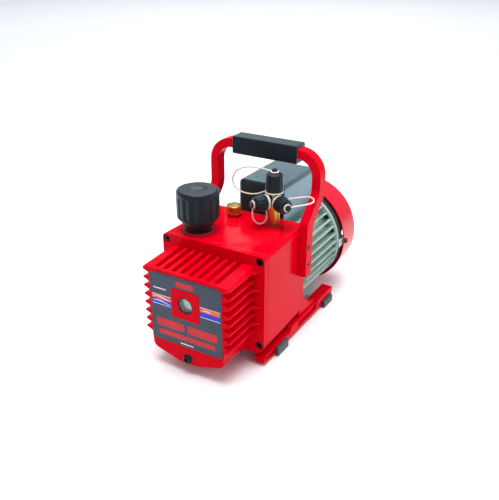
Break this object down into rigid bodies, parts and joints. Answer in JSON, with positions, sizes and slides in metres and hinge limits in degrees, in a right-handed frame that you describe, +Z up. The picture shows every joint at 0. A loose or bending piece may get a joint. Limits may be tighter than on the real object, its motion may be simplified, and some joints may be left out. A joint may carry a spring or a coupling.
{
  "type": "rotary vane vacuum pump",
  "caption": "Portable oil-sealed rotary vane vacuum pump with finned oil cover, sight glass, capped flare inlet, exhaust filter cap, carry handle and fan-cooled motor.",
  "frame": {"origin": "middle of the footprint box, on the floor", "axes": "+X to the right seen from the sight glass, +Y from the sight glass to the fan cover, +Z up"},
  "size_m": [0.168, 0.356, 0.2558],
  "materials": {
    "red_paint": "gloss enamel over a casting",
    "red_sheet": "gloss paint on pressed steel",
    "black_plastic": "moulded, satin, with fine texture",
    "slate_plastic": "moulded, semi-gloss",
    "grip_rubber": "matt foam rubber",
    "foot_rubber": "matt moulded rubber",
    "brass": "turned",
    "motor_aluminium": "cast and lightly coated",
    "black_casting": "satin black paint",
    "black_steel": "black oxide screws",
    "zinc_steel": "zinc plated",
    "machined_steel": "ground",
    "cast_iron": "machined",
    "electrical_steel": "laminated",
    "copper": "enamelled copper wire",
    "rotor_alloy": "laminations with cast end rings",
    "sight_glass": "clear, polished",
    "gasket": "nitrile rubber",
    "red_washer": "fibre and rubber washers",
    "label_film": "printed film",
    "strap_plastic": "translucent moulded nylon",
    "vane_composite": "phenolic composite",
    "filter_media": "filter felt",
    "spider_rubber": "urethane",
    "fan_plastic": "moulded nylon",
    "capacitor_shell": "moulded shell"
  },
  "bodies": {
    "root": {"main_casing": "red_paint", "cover_gasket": "gasket", "front_cover": "red_paint", "cover_screws": "black_steel", "sight_glass": "sight_glass", "sight_glass_target": "zinc_steel", "sight_glass_ring": "black_plastic", "face_label": "label_film", "fitting_washers": "red_washer", "exhaust_neck": "black_plastic", "exhaust_filter": "filter_media", "gas_ballast_valve": "brass", "inlet_manifold": "brass", "cap_strap_top": "strap_plastic", "cap_strap_right": "strap_plastic", "cap_strap_left": "strap_plastic", "handle_frame": "red_paint", "handle_screws": "black_steel", "handle_grip": "grip_rubber", "base_frame": "red_paint", "base_bolts": "zinc_steel", "rubber_feet": "foot_rubber", "motor_front_bell": "motor_aluminium", "motor_rear_bell": "black_casting", "motor_housing": "motor_aluminium", "stator_core": "electrical_steel", "stator_windings": "copper", "bearing_outer_races": "machined_steel", "fan_cover": "red_sheet", "fan_cover_screws": "black_steel", "pump_rear_plate": "cast_iron", "pump_centre_plate": "cast_iron", "pump_front_plate": "cast_iron", "pump_stator_high": "cast_iron", "pump_stator_low": "cast_iron", "shaft_seal": "gasket", "exhaust_valves": "machined_steel", "pump_bolts": "zinc_steel", "terminal_box": "slate_plastic", "terminal_box_screws": "black_steel", "run_capacitor": "capacitor_shell", "switch_frame": "black_plastic", "power_inlet": "black_plastic"},
    "rotor": {"motor_shaft": "machined_steel", "rotor_core": "rotor_alloy", "bearing_inner_races": "machined_steel", "cooling_fan": "fan_plastic", "coupling_hubs": "cast_iron", "coupling_spider": "spider_rubber", "pump_shaft": "machined_steel", "pump_rotors": "machined_steel", "pump_vanes": "vane_composite", "vane_springs": "machined_steel"},
    "exhaust_cap_body": {"exhaust_cap": "black_plastic"},
    "ballast_knob_body": {"gas_ballast_knob": "brass"},
    "top_cap_body": {"flare_cap_top": "black_plastic"},
    "right_cap_body": {"flare_cap_right": "black_plastic"},
    "left_cap_body": {"flare_cap_left": "black_plastic"},
    "drain_plug_body": {"drain_plug": "black_steel"},
    "rocker_body": {"rocker_switch": "black_plastic"}
  },
  "joints": [
    {"name": "motor_spin", "type": "hinge", "parent": "root", "child": "rotor", "pos_m": [0, 0, 0.084], "axis": [0, 1, 0], "continuous": true},
    {"name": "exhaust_cap_turn", "type": "hinge", "parent": "root", "child": "exhaust_cap_body", "pos_m": [-0.0392, -0.085, 0.19], "axis": [0, 0, 1], "range_deg": [0, 1080]},
    {"name": "gas_ballast_turn", "type": "hinge", "parent": "root", "child": "ballast_knob_body", "pos_m": [-0.0256, -0.0202, 0.165], "axis": [0, 0, 1], "range_deg": [0, 540]},
    {"name": "top_cap_turn", "type": "hinge", "parent": "root", "child": "top_cap_body", "pos_m": [0.0358, -0.0212, 0.215], "axis": [0, 0, 1], "range_deg": [0, 1440]},
    {"name": "right_cap_turn", "type": "hinge", "parent": "root", "child": "right_cap_body", "pos_m": [0.0358, -0.0212, 0.19], "axis": [0.866, -0.5, 0], "range_deg": [0, 1080]},
    {"name": "left_cap_turn", "type": "hinge", "parent": "root", "child": "left_cap_body", "pos_m": [0.0358, -0.0212, 0.19], "axis": [-0.5, -0.866, 0], "range_deg": [0, 1080]},
    {"name": "drain_plug_turn", "type": "hinge", "parent": "root", "child": "drain_plug_body", "pos_m": [0, -0.174, 0.023], "axis": [0, -1, 0], "range_deg": [0, 1800]},
    {"name": "power_switch_rock", "type": "hinge", "parent": "root", "child": "rocker_body", "pos_m": [-0.016, 0.098, 0.17], "axis": [-1, 0, 0], "range_deg": [0, 14]}
  ]
}
